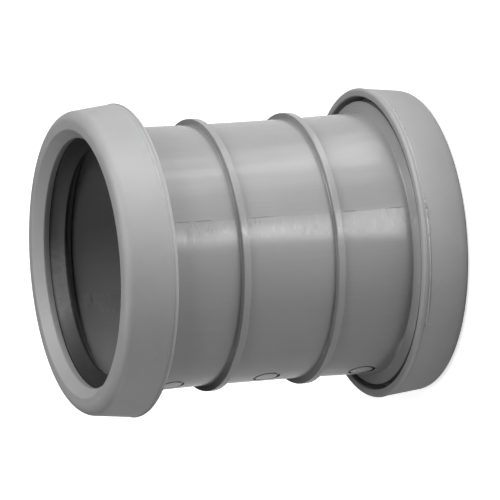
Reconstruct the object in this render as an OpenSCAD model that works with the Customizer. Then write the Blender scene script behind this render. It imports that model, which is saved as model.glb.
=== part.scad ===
// Double socket coupling for a push-fit soil pipe, standing on one end.
// One moulded tube has a socket at each end. A rubber lip seal sits in the
// housing at the mouth of each socket, and a tapered cap snaps over it.
// The foot of the lower cap is at height 0 and the axis is +Z.

/* [Pipe and tube] */
// Outer diameter of the pipe that both sockets take
pipe_d = 110; // [80:0.5:160]
// Gap all round between the pipe and the bore of a socket
pipe_gap = 0.35; // [0.1:0.05:0.8]
// Wall of the tube between the two ribs
wall = 3.2; // [2:0.1:5]
// Extra wall that the tube gains from each rib to its seal housing
wall_gain = 0.7; // [0.1:0.1:1.5]
// Length of the round bore of each socket
socket_len = 61.7; // [45:0.1:90]
// Length of the pipe stop in the middle of the tube
stop_len = 3; // [2:0.5:8]
// Height of the pipe stop inside the bore
stop_h = 2.6; // [1:0.1:3.5]
// Chamfer on the rim of the bore, which leads the pipe in
lead_in = 0.6; // [0.3:0.05:1.5]

/* [Ribs] */
// Distance of each rib from the middle of the tube
rib_pos = 22.4; // [8:0.2:30]
// Width of a rib
rib_w = 3.3; // [2:0.1:6]
// Height of a rib above the tube
rib_h = 2.8; // [1.6:0.1:5]
// Rounding of the two outer edges of a rib
rib_edge = 0.4; // [0.2:0.1:0.9]
// Fillet at each foot of a rib
rib_fillet = 0.3; // [0.1:0.1:0.6]

/* [Seal housing] */
// Radial room for the seal ring outside the bore
seal_room = 6.45; // [5:0.05:9]
// Depth of the housing, from its floor to its open end
housing_len = 15.5; // [14:0.1:22]
// How far the rim of the bore stands above the floor of the housing
bore_rim = 2; // [1:0.1:3]
// Wall of the housing around the seal ring
housing_wall = 2.6; // [1.8:0.1:4]
// Thickness of the shoulder behind the floor of the housing
shoulder_t = 3.3; // [2.5:0.1:6]
// How far the back of the shoulder leans towards the mouth
shoulder_lean = 1.2; // [0.1:0.1:1.5]
// Fillet between the tube and the back of the shoulder
shoulder_fillet = 0.4; // [0.2:0.1:3]
// Rounding of the outer edge of the shoulder
shoulder_edge = 0.3; // [0.1:0.1:1.2]

/* [Snap joint] */
// Distance of the snap bead on the housing from the housing's floor
snap_pos = 6.4; // [5:0.1:7.5]
// Height of the snap bead above the housing
snap_h = 0.75; // [0.4:0.05:1]
// Length of the flat top of the snap bead
snap_top = 0.7; // [0.3:0.1:1.2]
// Length of the ramp that the cap slides up
snap_ramp = 2.2; // [1:0.1:3]
// Length of the hook inside the cap that catches behind the bead
hook_len = 1.3; // [0.6:0.1:1.8]
// Free gap between hook and bead, along the axis and all round
snap_gap = 0.15; // [0.05:0.05:0.3]

/* [Retaining caps] */
// Radial wall of a cap
cap_wall = 3.65; // [2.5:0.05:6]
// Thickness of the front of a cap
cap_front = 4; // [2.5:0.1:8]
// Gap all round between the housing and the cap's back rim
rim_gap = 2.3; // [1.4:0.1:3.5]
// How far the back rim stands behind the shoulder's outer edge
rim_lap = 0.8; // [0.1:0.1:2.5]
// Length of the bead at the back of a cap
bead_len = 2; // [2:0.1:5]
// Height of the bead above the taper of the cap
bead_rise = 0.3; // [0.1:0.05:0.8]
// Rounding of the bead's outer back edge
bead_round = 1.5; // [0.6:0.1:1.9]
// Width of the fine seam in front of the bead
seam_w = 0.4; // [0.2:0.1:1]
// Depth of that seam
seam_depth = 0.15; // [0.1:0.05:0.5]
// Rounding of the cap's outer front edge
nose_round = 4.85; // [2:0.05:5]
// Gap all round between the pipe and the mouth of a cap
mouth_gap = 1; // [0.6:0.1:3]
// Length of the cone that leads the pipe into the mouth
cone_len = 4.3; // [2:0.1:5]
// Radial width of that cone
cone_w = 4; // [2:0.1:5]
// Rounding of both edges of that cone
cone_edge = 0.8; // [0.2:0.1:1.2]
// Length of the collar that holds the seal ring in the housing
collar_len = 3.1; // [2:0.1:5]

/* [Seal rings] */
// Thickness of the band of a seal ring
band_t = 3; // [2:0.1:3.4]
// Thickness of the lip
lip_t = 1.9; // [1.2:0.1:2.2]
// Length of the part of the lip that lies along the pipe
lip_len = 4.4; // [2:0.1:5]
// Slant of the lip from the band to the pipe, along the axis
lip_slant = 2.8; // [1.5:0.1:3.5]
// Gap that the lip, drawn as pressed open, leaves to the pipe
lip_gap = 0.25; // [0.2:0.05:0.3]

/* [Mould marks] */
// Outer diameter of each round insert mark
mark_d = 12.4; // [6:0.2:16]
// Width of the groove around a mark
mark_groove = 1.2; // [0.4:0.1:1.5]
// Depth of that groove
mark_depth = 0.5; // [0.1:0.05:0.8]
// Distance of the outer marks from the middle one
mark_pitch = 45.8; // [42:0.2:48]

/* [Hidden] */
$fn = 128;

// Number of steps in each drawn rounding
steps = 10;
// Free gap between the cap's collar, the seal band and the walls around them
seat_gap = 0.15;
// Small bevel on edges that show no rounding
bevel = 0.4;

// Radii of the tube and its socket
pipe_r = pipe_d / 2;
bore_r = pipe_r + pipe_gap;
tube_r = bore_r + wall;
tube_end_r = tube_r + wall_gain;

// Radii of the seal housing and the cap around it, and of the cap's mouth
mouth_r = pipe_r + mouth_gap;
room_r = bore_r + seal_room;
housing_r = room_r + housing_wall;
rim_r = housing_r + rim_gap;
seat_r = housing_r + seat_gap;

// Radii of the seal ring's band and of the bore's rim inside it
band_out_r = room_r - seat_gap;
band_in_r = band_out_r - band_t;
bore_rim_r = band_in_r - seat_gap;

// Distances from the middle of the tube, out along one socket
stop_s = stop_len / 2;
lead_s = stop_s + socket_len;
bore_rim_s = lead_s + lead_in;
floor_s = bore_rim_s - bore_rim;
mouth_s = floor_s + housing_len;
shoulder_s = floor_s - shoulder_t;
rim_s = shoulder_s - rim_lap;
bead_s = rim_s + bead_len;
snap_s = floor_s + snap_pos;
end_s = mouth_s + cap_front;
collar_s = mouth_s - collar_len;

// Points of a round arc, from one angle to another
function arc(c, r, from, to) =
    [for (i = [0:steps]) c + r * [cos(from + (to - from) * i / steps),
                                  sin(from + (to - from) * i / steps)]];

// Rounding of the corner at p between two faces that look at angles from and to
function corner(p, r, from, to) =
    arc(p - r / (1 + cos(to - from)) * [cos(from) + cos(to), sin(from) + sin(to)], r, from, to);

// The same points in the opposite order
function back(points) = [for (i = [len(points) - 1:-1:0]) points[i]];

// The same points on the other socket
function other_end(points) = back([for (p = points) [p[0], -p[1]]]);

// Radius of the tube's skin, which grows from each rib to its shoulder
function skin_r(s) =
    let (from_s = rib_pos + rib_w / 2 + rib_fillet,
         to_s = shoulder_s - shoulder_lean - shoulder_fillet)
    tube_r + wall_gain * max(0, (abs(s) - from_s) / (to_s - from_s));

// Inner radius of a cap, which tapers from its back rim to its seat
function cap_r(s) = rim_r + (seat_r - rim_r) * (s - rim_s) / (mouth_s - rim_s);

// Flat-topped rib with rounded edges and a fillet at each foot
function rib_outline() =
    let (half = rib_w / 2,
         edge = half - rib_edge,
         top = tube_r + rib_h - rib_edge,
         foot = tube_r + rib_fillet)
    concat(
        back(arc([foot, rib_pos - half - rib_fillet], rib_fillet, 90, 180)),
        arc([top, rib_pos - edge], rib_edge, -90, 0),
        arc([top, rib_pos + edge], rib_edge, 0, 90),
        back(arc([foot, rib_pos + half + rib_fillet], rib_fillet, 180, 270)));

// Back of the shoulder, from the tube's fillet to the housing's rounded edge
function shoulder_outline() =
    let (fillet_r = tube_end_r + shoulder_fillet,
         root_s = shoulder_s - shoulder_lean)
    concat(
        back(arc([fillet_r, root_s - shoulder_fillet], shoulder_fillet, 90, 180)),
        arc([housing_r - shoulder_edge, shoulder_s + shoulder_edge], shoulder_edge, -90, 0));

// Outer wall of the housing with its snap bead, and the open end
function housing_outline() = [
    [housing_r, snap_s],
    [housing_r + snap_h, snap_s],
    [housing_r + snap_h, snap_s + snap_top],
    [housing_r, snap_s + snap_top + snap_ramp],
    [housing_r, mouth_s - bevel],
    [housing_r - bevel, mouth_s],
    [room_r + bevel, mouth_s],
    [room_r, mouth_s - bevel]];

// Inside of the socket, from the housing's floor to the pipe stop
function socket_outline() = [
    [room_r, floor_s],
    [bore_rim_r, floor_s],
    [bore_rim_r, bore_rim_s],
    [bore_r + lead_in, bore_rim_s],
    [bore_r, lead_s],
    [bore_r, stop_s],
    [bore_r - stop_h + bevel, stop_s],
    [bore_r - stop_h, stop_s - bevel]];

function half_tube() = concat(rib_outline(), shoulder_outline(), housing_outline(),
                              socket_outline());

module tube() {
    rotate_extrude() polygon(concat(half_tube(), other_end(half_tube())));
}

// Round groove that follows the tube's skin, on the side that faces -Y
module mark(s) {
    translate([0, 0, s]) intersection() {
        rotate([90, 0, 0]) difference() {
            cylinder(r = mark_d / 2, h = tube_end_r + 1);
            cylinder(r = mark_d / 2 - mark_groove, h = tube_end_r + 1);
        }
        difference() {
            cylinder(r = tube_end_r + 2, h = mark_d + 2, center = true);
            cylinder(r = skin_r(s) - mark_depth, h = mark_d + 4, center = true);
        }
    }
}

// Outside of a cap, from its back rim round the bead to the front
function cap_outside() =
    let (bead_r = cap_r(bead_s) + cap_wall + bead_rise,
         seam_r = cap_r(bead_s) + cap_wall - seam_depth,
         taper_s = bead_s + seam_w,
         taper = atan((rim_r - seat_r) / (mouth_s - rim_s)),
         nose_s = end_s - nose_round,
         nose_r = cap_r(nose_s + nose_round * sin(taper)) + cap_wall)
    concat(
        arc([bead_r - bead_round, rim_s + bead_round], bead_round, -90, 0),
        [[bead_r, bead_s],
         [seam_r, bead_s],
         [cap_r(taper_s) + cap_wall, taper_s]],
        arc([nose_r - nose_round * cos(taper), nose_s], nose_round, taper, 90));

// Mouth of a cap: a cone that leads the pipe in, then a short round land
function cap_mouth() =
    let (slope = 180 - atan(cone_w / cone_len))
    concat(
        corner([mouth_r + cone_w, end_s], cone_edge, 90, slope),
        corner([mouth_r, end_s - cone_len], cone_edge, slope, 180),
        [[mouth_r, collar_s]]);

// Inside of a cap: collar, seat on the housing's end, hook and back rim
function cap_inside() =
    let (hook_s = snap_s - snap_gap,
         hook_r = housing_r + snap_gap,
         hook_back_s = hook_s - hook_len,
         ramp_s = hook_back_s - (cap_r(hook_back_s) - hook_r))
    [[band_out_r, collar_s],
     [band_out_r, mouth_s],
     [seat_r, mouth_s],
     [cap_r(hook_s), hook_s],
     [hook_r, hook_s],
     [hook_r, hook_back_s],
     [cap_r(ramp_s), ramp_s],
     [cap_r(rim_s + bevel), rim_s + bevel],
     [rim_r + bevel, rim_s]];

module cap() {
    color("#a6a8a9") rotate_extrude()
        polygon(concat(cap_outside(), cap_mouth(), cap_inside()));
}

// Rubber ring: a band that fills the housing, and a lip that the pipe has
// pressed open, so that it lies along the pipe and points into the socket
function seal_outline() =
    let (lip_r = pipe_r + lip_gap,
         lip_s = collar_s - lip_slant,
         tip_s = lip_s - lip_len)
    concat(
        [[band_out_r, floor_s],
         [band_out_r, collar_s],
         [mouth_r, collar_s],
         [lip_r, lip_s]],
        back(arc([lip_r + lip_t / 2, tip_s + lip_t / 2], lip_t / 2, 0, -180)),
        [[lip_r + lip_t, lip_s - lip_t / 2],
         [band_in_r, lip_s],
         [band_in_r, floor_s]]);

module seal() {
    color("#3c3d3f") rotate_extrude() polygon(seal_outline());
}

// Each end piece is drawn around the middle of the tube, then set in place
module upper_end() {
    translate([0, 0, end_s]) children();
}

module lower_end() {
    translate([0, 0, end_s]) mirror([0, 0, 1]) children();
}

module body() {
    color("#989a9b") translate([0, 0, end_s]) difference() {
        tube();
        for (i = [-1:1]) mark(i * mark_pitch);
    }
}

module upper_retaining_cap() {
    upper_end() cap();
}

module lower_retaining_cap() {
    lower_end() cap();
}

module upper_seal_ring() {
    upper_end() seal();
}

module lower_seal_ring() {
    lower_end() seal();
}

body();
upper_retaining_cap();
lower_retaining_cap();
upper_seal_ring();
lower_seal_ring();
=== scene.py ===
# Visual model of the double socket coupling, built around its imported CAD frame.
# The coupling stands on its lower cap. The camera is rolled, so that the picture
# shows it lying, as the photograph does.
import math
import random

import bmesh
import bpy
from mathutils import Matrix, Vector


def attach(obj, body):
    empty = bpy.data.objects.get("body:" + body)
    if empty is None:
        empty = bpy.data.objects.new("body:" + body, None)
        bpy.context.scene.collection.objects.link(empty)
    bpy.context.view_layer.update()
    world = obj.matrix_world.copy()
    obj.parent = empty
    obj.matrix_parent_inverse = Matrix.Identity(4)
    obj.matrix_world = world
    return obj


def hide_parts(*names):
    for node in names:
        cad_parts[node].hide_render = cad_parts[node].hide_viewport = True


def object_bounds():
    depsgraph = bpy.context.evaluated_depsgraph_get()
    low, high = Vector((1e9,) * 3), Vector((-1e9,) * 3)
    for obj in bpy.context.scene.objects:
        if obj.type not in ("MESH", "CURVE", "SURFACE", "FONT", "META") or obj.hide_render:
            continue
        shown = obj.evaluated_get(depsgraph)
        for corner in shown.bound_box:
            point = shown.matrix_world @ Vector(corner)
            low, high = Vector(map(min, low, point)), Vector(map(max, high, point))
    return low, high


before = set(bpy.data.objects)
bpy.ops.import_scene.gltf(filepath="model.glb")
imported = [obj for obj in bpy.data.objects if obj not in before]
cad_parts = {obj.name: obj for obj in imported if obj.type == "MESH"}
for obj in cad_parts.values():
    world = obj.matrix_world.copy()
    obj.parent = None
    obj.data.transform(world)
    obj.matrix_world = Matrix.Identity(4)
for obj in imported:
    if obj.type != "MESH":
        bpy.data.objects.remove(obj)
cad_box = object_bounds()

MM = 0.001
LENGTH = cad_box[1][2] - cad_box[0][2]
MIDDLE = Vector((0, 0, LENGTH / 2))

# The camera's place, worked out from the photograph. Lengths are in metres, except where
# a name says otherwise.
PHOTO_SIZE = 500
FOCAL_PX = 5778
SENSOR_MM = 36.0
AXIS_TILT = math.radians(20.57)
AXIS_RISE = math.radians(4.15)
CAMERA_DISTANCE = 2.6021
CAMERA_REACH = 50
OFFSET_RIGHT = -0.00185
OFFSET_DOWN = 0.00072
PARTING_TURN = math.radians(14.4)

# Directions of the photograph's frame: the coupling's axis runs across it
toward = Vector((math.cos(PARTING_TURN), -math.sin(PARTING_TURN), 0))
across = Vector((math.sin(PARTING_TURN), math.cos(PARTING_TURN), 0))
axis = Vector((0, 0, 1))
along = math.cos(AXIS_TILT) * axis - math.sin(AXIS_TILT) * toward
cam_back = math.sin(AXIS_TILT) * axis + math.cos(AXIS_TILT) * toward
cam_right = -math.cos(AXIS_RISE) * along - math.sin(AXIS_RISE) * across
cam_up = -math.sin(AXIS_RISE) * along + math.cos(AXIS_RISE) * across


def add_camera():
    data = bpy.data.cameras.new("camera")
    data.sensor_width = SENSOR_MM
    data.lens = FOCAL_PX / PHOTO_SIZE * SENSOR_MM
    data.clip_end = CAMERA_REACH
    cam = bpy.data.objects.new("camera", data)
    bpy.context.scene.collection.objects.link(cam)
    place = MIDDLE + CAMERA_DISTANCE * cam_back - OFFSET_RIGHT * cam_right + OFFSET_DOWN * cam_up
    turn = Matrix((cam_right, cam_up, cam_back)).transposed().to_4x4()
    cam.matrix_world = Matrix.Translation(place) @ turn
    bpy.context.scene.camera = cam


# Shared sizes in millimetres. Radii end in R. The other places are distances from the
# middle of the tube, out towards a mouth.
END = LENGTH / 2 / MM
CAP_FRONT = 4.0
COLLAR_LEN = 3.1
HOUSING_LEN = 15.5
SHOULDER_T = 3.3
RIM_LAP = 0.8
SEAT = END - CAP_FRONT
COLLAR = SEAT - COLLAR_LEN
FLOOR = SEAT - HOUSING_LEN
SHOULDER = FLOOR - SHOULDER_T
RIM = SHOULDER - RIM_LAP
MOUTH_R = 56.0
BAND_IN_R = 58.65
BAND_OUT_R = 61.65
SEAT_R = 64.55
RIM_R = 66.7


def arc(r, s, radius, start, stop, steps=12):
    """Points of a rounding round (r, s); angles in degrees, 0 is outward and 90 along."""
    points = []
    for i in range(steps + 1):
        a = math.radians(start + (stop - start) * i / steps)
        points.append((r + radius * math.cos(a), s + radius * math.sin(a)))
    return points


def corner(r, s, radius, start, stop, steps=8):
    """Rounding of the corner at (r, s) between faces that look at angles start and stop."""
    a, b = math.radians(start), math.radians(stop)
    k = radius / (1 + math.cos(b - a))
    return arc(r - k * (math.cos(a) + math.cos(b)), s - k * (math.sin(a) + math.sin(b)), radius,
               start, stop, steps)


def revolve(name, profile, segments, sharp=32, shift=None):
    """Closed ring with the given closed outline of (radius, distance) points.

    Edges that turn by more than sharp degrees stay crisp. Where shift is given, it says
    how far a point of the outline moves, outward and along, at a step round the axis.
    """
    bm = bmesh.new()
    rings_and_lift = []
    for k in range(segments):
        turn = 2 * math.pi * k / segments
        ring = []
        for i, (r, s) in enumerate(profile):
            dr, ds = shift(i, k) if shift else (0, 0)
            radius = (r + dr) * MM
            ring.append(bm.verts.new((radius * math.cos(turn), radius * math.sin(turn), (s + ds) * MM)))
        rings_and_lift.append(ring)
    count = len(profile)
    for k in range(segments):
        one, two = rings_and_lift[k], rings_and_lift[(k + 1) % segments]
        for i in range(count):
            j = (i + 1) % count
            bm.faces.new((one[i], two[i], two[j], one[j]))
    bmesh.ops.recalc_face_normals(bm, faces=bm.faces)
    for f in bm.faces:
        f.smooth = True
    for e in bm.edges:
        e.smooth = e.calc_face_angle(0) < math.radians(sharp)
    mesh = bpy.data.meshes.new(name)
    bm.to_mesh(mesh)
    bm.free()
    obj = bpy.data.objects.new(name, mesh)
    bpy.context.scene.collection.objects.link(obj)
    return obj


def set_on_end(obj, lower):
    """Moves a piece drawn around the middle of the tube to the upper or the lower end."""
    flip = Matrix.Diagonal((1, 1, -1, 1)) if lower else Matrix.Identity(4)
    obj.data.transform(Matrix.Translation(MIDDLE) @ flip)
    if lower:
        obj.data.flip_normals()


# Outside of a cap: bead at the back rim, then the seam behind which the taper starts.
# The seam's points are told by their place from its middle and their depth.
CAP_WALL = 3.65
BEAD_R = 70.376
BEAD_ROUND = 1.5
SEAM = 59.7
SEAM_DIP = ((-0.35, 0.12), (-0.05, 0.40), (0.15, 0.47), (0.35, 0.40))
SEAM_END = 0.7

# The mould's line on the taper, the places of its points from it, and those of the plain
# points that keep its unevenness from spreading
LINE = 60.95
LINE_STEPS = (-0.5, -0.32, -0.02, 0.12, 0.48, 0.72)
PLAIN = (64, 68, 72)

# Front and mouth of a cap: round nose, cone that leads the pipe in, how far the land
# behind it widens, and the bevel at the land's back
NOSE_ROUND = 4.85
CONE = 4.3
CONE_W = 4.0
CONE_EDGE = 0.8
LAND_UNDERCUT = 0.25
LAND_BEVEL_R = 0.05
LAND_BEVEL = 0.15

# Hook that snaps behind the housing's bead, and the bevel of the back rim
HOOK = 68.05
HOOK_LEN = 1.3
HOOK_R = 64.55
RIM_BEVEL = 0.4


def cap_wall_r(s):
    """Inner radius of a cap, which tapers from its back rim to its seat."""
    return RIM_R + (SEAT_R - RIM_R) * (s - RIM) / (SEAT - RIM)


def skin(s):
    """Outer radius of a cap's taper."""
    return cap_wall_r(s) + CAP_WALL


def cap_profile():
    """Outline of a cap, and the place in it of the first point at the mould's line."""
    taper = math.atan((RIM_R - SEAT_R) / (SEAT - RIM))
    nose_s = END - NOSE_ROUND
    nose_r = skin(nose_s + NOSE_ROUND * math.sin(taper))
    slope = 180 - math.degrees(math.atan(CONE_W / CONE))
    points = [(RIM_R + RIM_BEVEL, RIM)]
    points += arc(BEAD_R - BEAD_ROUND, RIM + BEAD_ROUND, BEAD_ROUND, -90, 0, 16)
    points += [(BEAD_R - depth, SEAM + place) for place, depth in SEAM_DIP]
    points += [(skin(SEAM + SEAM_END), SEAM + SEAM_END)]
    first = len(points)
    points += [(skin(LINE + step), LINE + step) for step in LINE_STEPS]
    points += [(skin(s), s) for s in PLAIN]
    points += arc(nose_r - NOSE_ROUND * math.cos(taper), nose_s, NOSE_ROUND,
                  math.degrees(taper), 90, 20)
    points += corner(MOUTH_R + CONE_W, END, CONE_EDGE, 90, slope)
    points += corner(MOUTH_R, END - CONE, CONE_EDGE, slope, 180)
    land_r = MOUTH_R + LAND_UNDERCUT
    points += [(land_r, COLLAR + LAND_BEVEL), (land_r + LAND_BEVEL_R, COLLAR)]
    points += [(BAND_OUT_R, COLLAR), (BAND_OUT_R, SEAT), (SEAT_R, SEAT)]
    hook_back = HOOK - HOOK_LEN
    ramp = hook_back - (cap_wall_r(hook_back) - HOOK_R)
    points += [(cap_wall_r(HOOK), HOOK), (HOOK_R, HOOK), (HOOK_R, hook_back), (cap_wall_r(ramp), ramp)]
    points += [(cap_wall_r(RIM + RIM_BEVEL), RIM + RIM_BEVEL)]
    return points, first


# Flash left at the mould's line: middle and half width in degrees round the axis, and height, which
# also sets how strong the painted glints and shade of its specks are
FLASH = {"upper": ((28, 9, 0.10), (160, 10, 0.10), (-60, 12, 0.06)),
         "lower": ((-7, 10, 0.42), (-46, 2.5, 0.4), (35, 12, 0.2), (-150, 9, 0.2))}
# Where the line shows as a thin fin beside a groove, told in the same way; the height also sets how
# strong the painted highlight on the crest and the painted shade in the groove are
FIN = {"upper": ((28, 25, 0.06), (180, 60, 0.08)),
       "lower": ((-24, 24, 0.34), (50, 45, 0.14), (-160, 50, 0.12))}
# How far the line strays, the most that its crest rises, the depth that its groove has
# all round and the most that is added to it
STRAY = 0.05
CREST_MOST = 0.37
GROOVE_DEPTH = 0.02
GROOVE_MORE = 0.25


def ripple(seed, slowest, fastest, tilt=0.5):
    """Smooth periodic noise round the axis, from about -1 to 1."""
    draw = random.Random(seed)
    waves = [(n, draw.uniform(0, 2 * math.pi), draw.uniform(0.5, 1) / n ** tilt)
             for n in range(slowest, fastest + 1)]
    total = math.sqrt(sum(a * a for _, _, a in waves))
    return lambda turn: sum(a * math.cos(n * turn + p) for n, p, a in waves) / total


def bulge(turn, places):
    """Largest of the given smooth bumps at an angle round the axis."""
    best = 0.0
    for middle, half, height in places:
        away = (math.degrees(turn) - middle + 180) % 360 - 180
        best = max(best, height * max(0.0, 1 - (away / half) ** 4))
    return best


def line_shift(side, first, segments):
    """Moves the points at the mould's line, so that it wanders and carries torn flash."""
    wander = ripple(side + "wander", 3, 24)
    fine = ripple(side + "fine", 40, 170, 0)
    other = ripple(side + "other", 40, 170, 0)
    moves = []
    for k in range(segments):
        turn = 2 * math.pi * k / segments
        torn, fin = bulge(turn, FLASH[side]), bulge(turn, FIN[side])
        one, two = fine(turn), other(turn)
        drift = STRAY * wander(turn)
        tear = drift + 0.9 * torn * one
        up = min(CREST_MOST, 0.7 * fin * (1 + 0.25 * one) + torn * max(0.0, one))
        deeper = fin * (0.7 + 0.3 * two) + 0.35 * torn * max(0.0, two)
        down = GROOVE_DEPTH + min(GROOVE_MORE, deeper)
        moves.append(((0.3 * up, drift), (up, tear), (0.8 * up, tear), (-down, tear),
                      (-0.8 * down, drift + 0.5 * torn * two), (0.35 * torn * two, drift)))

    def shift(i, k):
        return moves[k][i - first] if 0 <= i - first < len(LINE_STEPS) else (0.0, 0.0)
    return shift


CAP_SEGMENTS = 720
CAP_SHARP = 28


def add_caps(mat):
    for side in ("upper", "lower"):
        profile, first = cap_profile()
        shift = line_shift(side, first, CAP_SEGMENTS)
        cap = revolve(side + "_cap", profile, CAP_SEGMENTS, CAP_SHARP, shift)
        set_on_end(cap, side == "lower")
        cap.data.materials.append(mat)
        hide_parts(side + "_retaining_cap")
        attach(cap, "root")


# Relaxed rubber ring: its thick lip reaches inside the pipe's radius. The steps under the
# collar are told by how far they lie outside the mouth's radius and below the collar.
SEAL_SEGMENTS = 360
SEAL_GAP = 0.02
SEAL_STEPS = ((1.2, SEAL_GAP), (0.8, 0.08), (0.6, 0.26), (0.35, 0.32), (-0.1, 0.34), (-0.25, 0.42))
TOP_BEVEL = 0.2
FOOT_BEVEL = 0.3
LIP_START = (MOUTH_R - 0.3, COLLAR - 0.62)
LIP_EDGE = (50.9, 68.75)
LIP_BOW = 0.18
LIP_POINTS = 8
LIP_BACK = ((50.82, 68.45), (50.84, 68.05), (50.96, 67.6), (51.2, 67.1), (51.7, 66.6), (52.4, 66.05),
            (53.3, 65.4), (54.3, 64.7), (55.0, 64.25), (55.6, 63.98), (56.5, 63.92), (58.45, 63.88))
LIP_ROOT = 63.7


def seal_profile():
    """Band in the housing, step under the collar, cone-shaped front, blunt lip and its back."""
    points = [(BAND_OUT_R, FLOOR + FOOT_BEVEL), (BAND_OUT_R, COLLAR - TOP_BEVEL),
              (BAND_OUT_R - TOP_BEVEL, COLLAR - SEAL_GAP)]
    points += [(MOUTH_R + out, COLLAR - below) for out, below in SEAL_STEPS]
    for i in range(LIP_POINTS + 1):
        t = i / LIP_POINTS
        bow = LIP_BOW * math.sin(math.pi * t)
        points.append((LIP_START[0] + (LIP_EDGE[0] - LIP_START[0]) * t + bow,
                       LIP_START[1] + (LIP_EDGE[1] - LIP_START[1]) * t - bow))
    points += LIP_BACK
    points += [(BAND_IN_R, LIP_ROOT), (BAND_IN_R, FLOOR + FOOT_BEVEL),
               (BAND_IN_R + FOOT_BEVEL, FLOOR + SEAL_GAP), (BAND_OUT_R - FOOT_BEVEL, FLOOR + SEAL_GAP)]
    return points


def add_seals(mat):
    for side in ("upper", "lower"):
        seal = revolve(side + "_lip_seal", seal_profile(), SEAL_SEGMENTS)
        set_on_end(seal, side == "lower")
        seal.data.materials.append(mat)
        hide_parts(side + "_seal_ring")
        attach(seal, "root")


class Paint:
    """A node material, built by short calls that return output sockets."""

    def __init__(self, name):
        self.mat = bpy.data.materials.new(name)
        self.mat.use_nodes = True
        self.nodes = self.mat.node_tree.nodes
        self.links = self.mat.node_tree.links
        self.shader = self.nodes["Principled BSDF"]
        self.place = self.nodes.new("ShaderNodeTexCoord").outputs["Object"]

    def put(self, socket, value):
        if isinstance(value, bpy.types.NodeSocket):
            self.links.new(value, socket)
        else:
            socket.default_value = value

    def math(self, operation, *values, clamp=False):
        n = self.nodes.new("ShaderNodeMath")
        n.operation = operation
        n.use_clamp = clamp
        for socket, value in zip(n.inputs, values):
            self.put(socket, value)
        return n.outputs[0]

    def fold(self, operation, first, *others):
        for value in others:
            first = self.math(operation, first, value)
        return first

    def plus(self, *values):
        return self.fold("ADD", *values)

    def minus(self, *values):
        return self.fold("SUBTRACT", *values)

    def times(self, *values):
        return self.fold("MULTIPLY", *values)

    def darker(self, tone, mask, share):
        """The tone, less the given share of it where the mask is 1."""
        return self.times(tone, self.minus(1, self.times(mask, share)))

    def apart(self, value, place):
        return self.math("ABSOLUTE", self.minus(value, place))

    def from_axis(self, a, b):
        """Distance from the line on which both lengths are 0."""
        return self.math("SQRT", self.plus(self.times(a, a), self.times(b, b)))

    def turned(self, turn, middle):
        """Angle between a direction round the axis and one given in degrees."""
        away = self.minus(turn, math.radians(middle))
        return self.math("ABSOLUTE", self.math("WRAP", away, math.pi, -math.pi))

    def split(self, vector):
        n = self.nodes.new("ShaderNodeSeparateXYZ")
        self.put(n.inputs[0], vector)
        return n.outputs

    def scaled(self, vector, factors):
        n = self.nodes.new("ShaderNodeVectorMath")
        n.operation = "MULTIPLY"
        self.put(n.inputs[0], vector)
        self.put(n.inputs[1], factors)
        return n.outputs[0]

    def tinted(self, colour, tone):
        n = self.nodes.new("ShaderNodeVectorMath")
        n.operation = "SCALE"
        n.inputs[0].default_value = colour
        self.put(n.inputs["Scale"], tone)
        return n.outputs[0]

    def noise(self, scale, detail=2.0, rough=0.5, stretch=(1, 1, 1)):
        n = self.nodes.new("ShaderNodeTexNoise")
        self.put(n.inputs["Vector"], self.scaled(self.place, stretch))
        n.inputs["Scale"].default_value = scale
        n.inputs["Detail"].default_value = detail
        n.inputs["Roughness"].default_value = rough
        return n.outputs["Fac"]

    def noise_along(self, value, scale, detail):
        """Noise along one length only."""
        n = self.nodes.new("ShaderNodeTexNoise")
        n.noise_dimensions = "1D"
        self.put(n.inputs["W"], value)
        n.inputs["Scale"].default_value = scale
        n.inputs["Detail"].default_value = detail
        return n.outputs["Fac"]

    def span(self, value, low, high, to_low=0.0, to_high=1.0):
        """Smooth change from to_low at low to to_high at high."""
        n = self.nodes.new("ShaderNodeMapRange")
        n.interpolation_type = "SMOOTHSTEP"
        for key, v in (("Value", value), ("From Min", low), ("From Max", high),
                       ("To Min", to_low), ("To Max", to_high)):
            self.put(n.inputs[key], v)
        return n.outputs["Result"]

    def rise(self, value, places):
        """Mask that grows from 0 to 1 between two places in millimetres."""
        return self.span(value, places[0] * MM, places[1] * MM)

    def fall(self, value, places):
        """Mask that drops from 1 to 0 between two places in millimetres."""
        return self.span(value, places[0] * MM, places[1] * MM, 1, 0)

    def stretches(self, z, places):
        """Largest of soft masks along the tube, each given by its middle and half length."""
        mask = 0.0
        for s, half in places:
            away = self.apart(z, MIDDLE.z + s * MM)
            mask = self.math("MAXIMUM", mask, self.fall(away, (0.5 * half, 1.2 * half)))
        return mask

    def mix(self, factor, a, b):
        n = self.nodes.new("ShaderNodeMix")
        n.data_type = "RGBA"
        self.put(n.inputs["Factor"], factor)
        for key, v in (("A", a), ("B", b)):
            socket = [s for s in n.inputs if s.name == key and s.type == "RGBA"][0]
            self.put(socket, v if isinstance(v, bpy.types.NodeSocket) else (*v, 1))
        return [s for s in n.outputs if s.type == "RGBA"][0]

    def bump(self, height, distance):
        n = self.nodes.new("ShaderNodeBump")
        self.put(n.inputs["Height"], height)
        n.inputs["Distance"].default_value = distance
        n.inputs["Strength"].default_value = 1.0
        return n.outputs["Normal"]

    def finish(self, colour, roughness, normal):
        self.put(self.shader.inputs["Base Color"], colour)
        self.put(self.shader.inputs["Roughness"], roughness)
        self.put(self.shader.inputs["Normal"], normal)
        return self.mat


BODY_GREY = (0.195, 0.195, 0.196)
BODY_BUMP = 0.035
# Radii between which the look changes from the bore's to the skin's, and from the skin's
# to the ribs' and to the shoulder's
BORE_TO_SKIN_R = (57.4, 57.9)
SKIN_TO_RIB_R = (60.2, 60.6)
SKIN_TO_SHOULDER_R = (59.3, 59.6)
# Places between which the skin's look ends and the shoulder's starts
SKIN_END = (56.9, 57.3)
SHOULDER_START = (56.5, 57.0)
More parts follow.
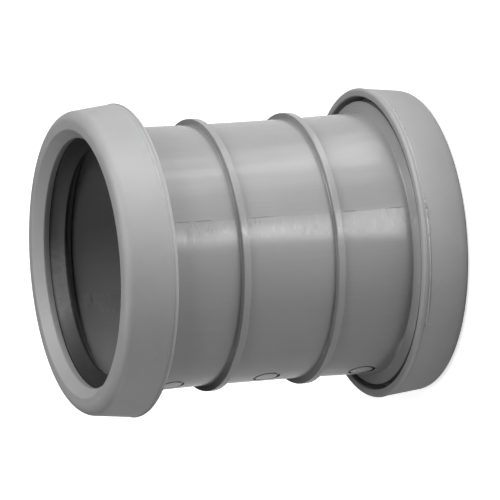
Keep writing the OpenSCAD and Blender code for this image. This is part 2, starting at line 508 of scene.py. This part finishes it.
# Stretches of the parting line that show: middle and half length along the tube. Then how
# far it strays, and the soft edge of its half width.
LINE_DARK = ((49.8, 3.6), (40.5, 4.5), (12.5, 6.5), (-29, 3.5), (-51, 4))
LINE_STRAY = 0.12
LINE_HALF = (0.08, 0.28)
# Rubbed strip beside the line, told by y: its start at the line, and its other edge, which
# is ragged
STRIP_START = (-0.4, 0.2)
STRIP_EDGE = (-9.5, -7.5)
STRIP_RAGGED = 2.2
# Where the strip's pale flecks are fainter, away from its ragged edge
FLECKS_FADE = (-8.5, -4)
# Stretches of the strip that are made rougher and given a painted shade that dims its highlight, told
# as those of the line
STRIP_DULL_AND_SHADE = ((42, 9), (-25, 26))
# Round marks left by the mould's inserts, the soft edges of the painted shade in their grooves, and the
# values of y where they show
MARKS = (-45.8, 0.0, 45.8)
MARK_INSIDE = (4.9, 5.1)
MARK_OUTSIDE = (6.25, 6.45)
MARK_SIDE = (-50, -40)


def body_plastic():
    """Semi-gloss moulded plastic with the mould's parting line, drag marks and round marks, with
    painted shade in the marks' grooves, painted glints and shade on the drag marks, a painted shade
    that dims the strip's highlight in stretches, and painted light on the shoulder's back.
    """
    p = Paint("body_plastic")
    x, y, z = p.split(p.place)
    radius = p.from_axis(x, y)
    level = p.apart(z, MIDDLE.z)
    outside = p.rise(radius, BORE_TO_SKIN_R)
    on_skin = p.times(p.fall(radius, SKIN_TO_RIB_R), p.fall(level, SKIN_END))
    on_shoulder = p.times(p.rise(radius, SKIN_TO_SHOULDER_R), p.rise(level, SHOULDER_START))
    cloud = p.noise(28, 3, 0.55)
    grain = p.noise(1500, 2, 0.6)
    # Faint lines drawn along the tube, and finer ones round it
    drawn = p.noise(700, 3, 0.6, (1, 1, 0.03))
    hoops = p.noise(420, 3, 0.6, (0.05, 0.05, 1))

    # The parting line strays a little and shows in stretches
    stray = p.span(p.noise(60, 3, 0.6, (0, 0, 1)), 0.3, 0.7, -LINE_STRAY * MM, LINE_STRAY * MM)
    off_line = p.math("ABSOLUTE", p.plus(y, stray))
    broken = p.span(p.noise(160, 2, 0.5, (0, 0, 1)), 0.36, 0.5, 0.5, 1)
    shown = p.times(p.stretches(z, LINE_DARK), broken)
    line = p.times(p.fall(off_line, LINE_HALF), outside, on_skin, p.plus(shown, 0.12))

    # Drag marks round the tube, in the strip beside the line on the round marks' side
    edge = p.noise(260, 3, 0.6, (0.1, 0.1, 1))
    low = p.plus(y, p.span(edge, 0.3, 0.7, -STRIP_RAGGED * MM, STRIP_RAGGED * MM))
    strip = p.times(p.rise(low, STRIP_EDGE), p.fall(y, STRIP_START))
    drag = p.span(p.noise(420, 4, 0.7, (0.12, 0.12, 1)), 0.55, 0.75)
    scratch = p.times(strip, outside, drag)
    # Dark ticks in the drag marks: painted shade
    tick_shade = p.times(scratch, p.span(p.noise(150, 2, 0.5, (0.5, 0.5, 1)), 0.56, 0.64))
    dull_and_shade = p.times(p.stretches(z, STRIP_DULL_AND_SHADE), strip)
    # Short flecks across the strip: pale ones near its ragged edge, a painted glint of its highlight,
    # and dark ones in patches, a painted shade
    fleck = p.noise(500, 3, 0.55, (0.28, 0.28, 1))
    pale_glints = p.times(p.span(fleck, 0.53, 0.64), p.minus(0.24, p.times(p.rise(low, FLECKS_FADE), 0.18)))
    dark_shade = p.times(p.span(fleck, 0.36, 0.46, 0.18, 0), p.span(p.noise(110, 2, 0.5), 0.46, 0.58))

    # Painted shade in the grooves of the round marks
    groove_shade = 0.0
    for s in MARKS:
        away = p.from_axis(x, p.minus(z, MIDDLE.z + s * MM))
        ring = p.times(p.rise(away, MARK_INSIDE), p.fall(away, MARK_OUTSIDE))
        groove_shade = p.math("MAXIMUM", groove_shade, ring)
    groove_shade = p.times(groove_shade, p.fall(y, MARK_SIDE), outside)

    # Fine turned rings on the back of the shoulder, which only lighten it: real rings, and painted
    # light that lifts the shade on the shoulder's back
    rings_and_lift = p.span(p.noise_along(radius, 2600, 3), 0.3, 0.7, 0.0, 0.24)

    tone = p.plus(p.span(cloud, 0.25, 0.75, 0.96, 1.04), p.span(grain, 0.2, 0.8, -0.02, 0.02),
                  p.span(drawn, 0.3, 0.7, -0.015, 0.015))
    # The parting line is darker, and the marks' grooves are darkened with painted shade
    tone = p.darker(p.darker(tone, line, 0.5), groove_shade, 0.65)
    # Painted glints and painted shade of the drag marks' flecks, and painted light on the shoulder's
    # back
    tone = p.plus(tone, p.times(strip, 0.03), p.times(strip, p.minus(pale_glints, dark_shade)),
                  p.times(on_shoulder, rings_and_lift))
    # Painted shade of the ticks, and of the dull stretches, which dims the strip's highlight
    tone = p.minus(tone, p.times(tick_shade, 0.2), p.times(dull_and_shade, 0.12))
    rough = p.plus(p.span(cloud, 0.3, 0.7, 0.22, 0.245), p.span(hoops, 0.3, 0.7, -0.006, 0.006),
                   p.times(scratch, 0.06), p.times(dull_and_shade, 0.04))
    height = p.plus(p.times(p.noise(260, 2, 0.5), 0.5), p.times(drawn, 0.35),
                    p.times(hoops, p.span(strip, 0, 1, 0.03, 0.3)))
    height = p.times(height, p.span(outside, 0, 1, 0.3, 1))
    height = p.minus(height, p.times(scratch, 0.45), p.times(line, 2.0))
    return p.finish(p.tinted(BODY_GREY, tone), rough, p.bump(height, BODY_BUMP * MM))


CAP_GREY = (0.24, 0.24, 0.241)
CAP_BUMP = 0.05
# Painted highlight on the fin's crest, painted shade in its groove, and torn specks with painted glints
# and shade, at the mould's line: place from it and half width
CREST_LOOK = (-0.17, 0.34)
GROOVE_LOOK = (0.3, 0.36)
TORN_LOOK = (-0.1, 0.8)


def cap_plastic():
    """Finely matt moulded plastic, a little scuffed, with a painted highlight on the mould line's fin,
    painted shade in its groove, and painted glints and shade on its torn specks.
    """
    p = Paint("cap_plastic")
    x, y, z = p.split(p.place)
    turn = p.math("ARCTAN2", y, x)
    level = p.minus(z, MIDDLE.z)
    cloud = p.noise(35, 3, 0.55)
    grain = p.noise(2200, 2, 0.6)
    mottle = p.noise(170, 4, 0.6)
    scuff = p.span(p.noise(420, 5, 0.75), 0.66, 0.74)
    tone = p.plus(p.span(cloud, 0.25, 0.75, 0.965, 1.035), p.span(grain, 0.2, 0.8, -0.03, 0.03),
                  p.span(mottle, 0.35, 0.65, -0.012, 0.012), p.times(scuff, 0.06))

    from_line = p.minus(p.math("ABSOLUTE", level), LINE * MM)
    crest_highlight, groove_shade, torn = (p.fall(p.apart(from_line, at * MM), (0.4 * half, half))
                           for at, half in (CREST_LOOK, GROOVE_LOOK, TORN_LOOK))
    patches = p.span(p.noise(90, 2, 0.5), 0.30, 0.55)
    fin = p.times(p.minus(p.times(crest_highlight, 2.2), groove_shade), patches)
    specks_and_glints = p.times(torn, p.span(p.noise(430, 3, 0.6), 0.40, 0.66, -0.4, 1))
    # Paints the highlight on the fin's crest, the shade in its groove, and the glints and shade of the
    # torn specks
    for side, sign in (("upper", 1), ("lower", -1)):
        here = p.math("GREATER_THAN", p.times(level, sign), 0)
        for places, look in ((FIN[side], fin), (FLASH[side], specks_and_glints)):
            for middle, half, height in places:
                away = p.turned(turn, middle)
                near = p.span(away, math.radians(0.6 * half), math.radians(half), height, 0)
                tone = p.plus(tone, p.times(near, here, look))

    dented = p.span(p.noise(22, 2, 0.5), 0.48, 0.62)
    dents = p.times(p.span(p.noise(520, 3, 0.6), 0.5, 0.72), dented)
    rough = p.plus(p.span(mottle, 0.3, 0.7, 0.46, 0.54), p.times(scuff, -0.06))
    height = p.plus(p.times(grain, 0.25), p.times(mottle, 0.6))
    height = p.minus(height, p.times(scuff, 0.35), p.times(dents, 1.6))
    return p.finish(p.tinted(CAP_GREY, tone), rough, p.bump(height, CAP_BUMP * MM))


RUBBER_BLACK = (0.013, 0.013, 0.0135)
# Paler grey of the painted sheen
RUBBER_SHEEN_GREY = (0.058, 0.058, 0.058)
DUST_GREY = (0.08, 0.08, 0.08)
# Paler grey of the painted light on the lip's back
LIP_BACK_LIGHT_GREY = (0.14, 0.14, 0.14)
RUBBER_BUMP = 0.03
RUBBER_SPECULAR = 0.4
# Painted sheen: a paler, patchy sector of the rubber where its highlight is painted in: middle and half
# width in degrees round the axis
SEAL_PAINTED_SHEEN = (176, 19)
# Painted light: the lip's back, in the shade behind the lip, is given a paler grey: places where it
# ends
LIP_BACK_LIGHT_END = (66.2, 67.8)


def seal_rubber():
    """Smooth dark rubber with faint flow lines round it and random dust, a painted sheen that thins out
    to one side, and painted light on the lip's back.
    """
    p = Paint("seal_rubber")
    x, y, z = p.split(p.place)
    level = p.apart(z, MIDDLE.z)
    middle, half = SEAL_PAINTED_SHEEN
    away = p.turned(p.math("ARCTAN2", y, x), middle)
    painted_sheen = p.span(away, math.radians(0.3 * half), math.radians(1.4 * half), 1, 0)
    sheen_patches = p.span(p.noise(420, 3, 0.6, (1, 1, 0.1)), 0.35, 0.65, 0.7, 1.25)
    hoops = p.noise(600, 3, 0.6, (0.04, 0.04, 1))
    grain = p.noise(2600, 2, 0.6)
    dust = p.span(p.noise(300, 4, 0.7), 0.6, 0.75)
    # Painted sheen on one side of the rubber
    colour = p.mix(p.math("MULTIPLY", painted_sheen, sheen_patches, clamp=True), RUBBER_BLACK, RUBBER_SHEEN_GREY)
    colour = p.mix(p.times(dust, 0.15), colour, DUST_GREY)
    # Painted light on the lip's back
    colour = p.mix(p.fall(level, LIP_BACK_LIGHT_END), colour, LIP_BACK_LIGHT_GREY)
    rough = p.plus(p.span(hoops, 0.3, 0.7, 0.50, 0.56), p.times(dust, 0.1))
    height = p.plus(p.times(hoops, 0.5), p.times(grain, 0.2))
    p.shader.inputs["Specular IOR Level"].default_value = RUBBER_SPECULAR
    return p.finish(colour, rough, p.bump(height, RUBBER_BUMP * MM))


def paint(node, mat):
    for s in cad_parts[node].material_slots:
        s.material = mat


# Soft boxes: angle from the coupling's axis, angle round it from the camera's side
# towards the top of the picture, both in degrees, and power in watts
SOFT_BOXES = (
    (12, -90, 5.4),
    (27, 83, 10.2),
    (42, -100, 1.8),
    (42, 10, 6.5),
    (42, 60, 6.5),
    (72, 85, 5.7),
    (83, -100, 4.0),
    (83, 60, 12.9),
)
SOFT_BOX_SIZE = 0.42
SOFT_BOX_AWAY = 1.6

# Long low lights that lie on the floor round the coupling and shine up, each with its long
# side away from it: angle round the axis in degrees, and power in watts
LOW_LIGHTS = (
    (14, 0.50),
    (56, 0.11),
    (70, 0.26),
    (84, 0.12),
)
LOW_LIGHT_SIZE = (0.40, 0.055)
LOW_LIGHT_AWAY = 0.33
LOW_LIGHT_UP = 0.001


def sideways(angle):
    """Direction across the axis, at the given angle from the camera's side."""
    return math.cos(angle) * toward + math.sin(angle) * across


def add_area(name, place, back, out, size, power):
    """Area light at place, facing away from back, with its first side along out."""
    data = bpy.data.lights.new(name, "AREA")
    data.shape = "RECTANGLE"
    data.size, data.size_y = size
    data.energy = power
    lamp = bpy.data.objects.new(name, data)
    lamp.visible_camera = False
    bpy.context.scene.collection.objects.link(lamp)
    turn = Matrix((out, back.cross(out), back)).transposed().to_4x4()
    lamp.matrix_world = Matrix.Translation(place) @ turn


def add_lamps():
    for number, (from_axis, round_axis, power) in enumerate(SOFT_BOXES):
        tilt, turn = math.radians(from_axis), math.radians(round_axis)
        back = math.cos(tilt) * axis + math.sin(tilt) * sideways(turn)
        out = back.cross(sideways(turn + math.pi / 2)).normalized()
        add_area(f"soft_box_{number}", MIDDLE + SOFT_BOX_AWAY * back, back, out,
                 (SOFT_BOX_SIZE, SOFT_BOX_SIZE), power)
    for number, (round_axis, power) in enumerate(LOW_LIGHTS):
        out = sideways(math.radians(round_axis))
        place = LOW_LIGHT_AWAY * out + LOW_LIGHT_UP * axis
        add_area(f"low_light_{number}", place, -axis, out, LOW_LIGHT_SIZE, power)


# Half the floor's side, and how far it lies below the lower cap, so that the two faces
# don't coincide, both in metres. Then its colour, and what it gives off to the camera alone.
FLOOR_HALF = 8.0
FLOOR_GAP = 0.02 * MM
FLOOR_GREY = (0.8, 0.8, 0.8, 1)
FLOOR_GLOW = (0.7, 0.7, 0.7, 1)


def floor_material():
    """Matt pale floor, which the camera sees as white."""
    mat = bpy.data.materials.new("floor_white")
    mat.use_nodes = True
    nodes, links = mat.node_tree.nodes, mat.node_tree.links
    bsdf = nodes["Principled BSDF"]
    bsdf.inputs["Base Color"].default_value = FLOOR_GREY
    bsdf.inputs["Roughness"].default_value = 1.0
    bsdf.inputs["Specular IOR Level"].default_value = 0.0
    bsdf.inputs["Emission Color"].default_value = FLOOR_GLOW
    seen = nodes.new("ShaderNodeLightPath")
    links.new(seen.outputs["Is Camera Ray"], bsdf.inputs["Emission Strength"])
    return mat


def add_floor():
    mesh = bpy.data.meshes.new("floor")
    corners = ((-1, -1), (1, -1), (1, 1), (-1, 1))
    points = [(x * FLOOR_HALF, y * FLOOR_HALF, -FLOOR_GAP) for x, y in corners]
    mesh.from_pydata(points, [], [(0, 1, 2, 3)])
    floor = bpy.data.objects.new("floor", mesh)
    bpy.context.scene.collection.objects.link(floor)
    mesh.materials.append(floor_material())


def add_world():
    """White behind the floor for the camera alone."""
    world = bpy.data.worlds.new("world")
    bpy.context.scene.world = world
    world.use_nodes = True
    nodes, links = world.node_tree.nodes, world.node_tree.links
    background = nodes["Background"]
    background.inputs["Color"].default_value = (1, 1, 1, 1)
    links.new(nodes.new("ShaderNodeLightPath").outputs["Is Camera Ray"], background.inputs["Strength"])


add_camera()
add_floor()
paint("body", body_plastic())
add_caps(cap_plastic())
add_seals(seal_rubber())
add_lamps()
add_world()
bpy.context.scene.view_settings.view_transform = "Standard"
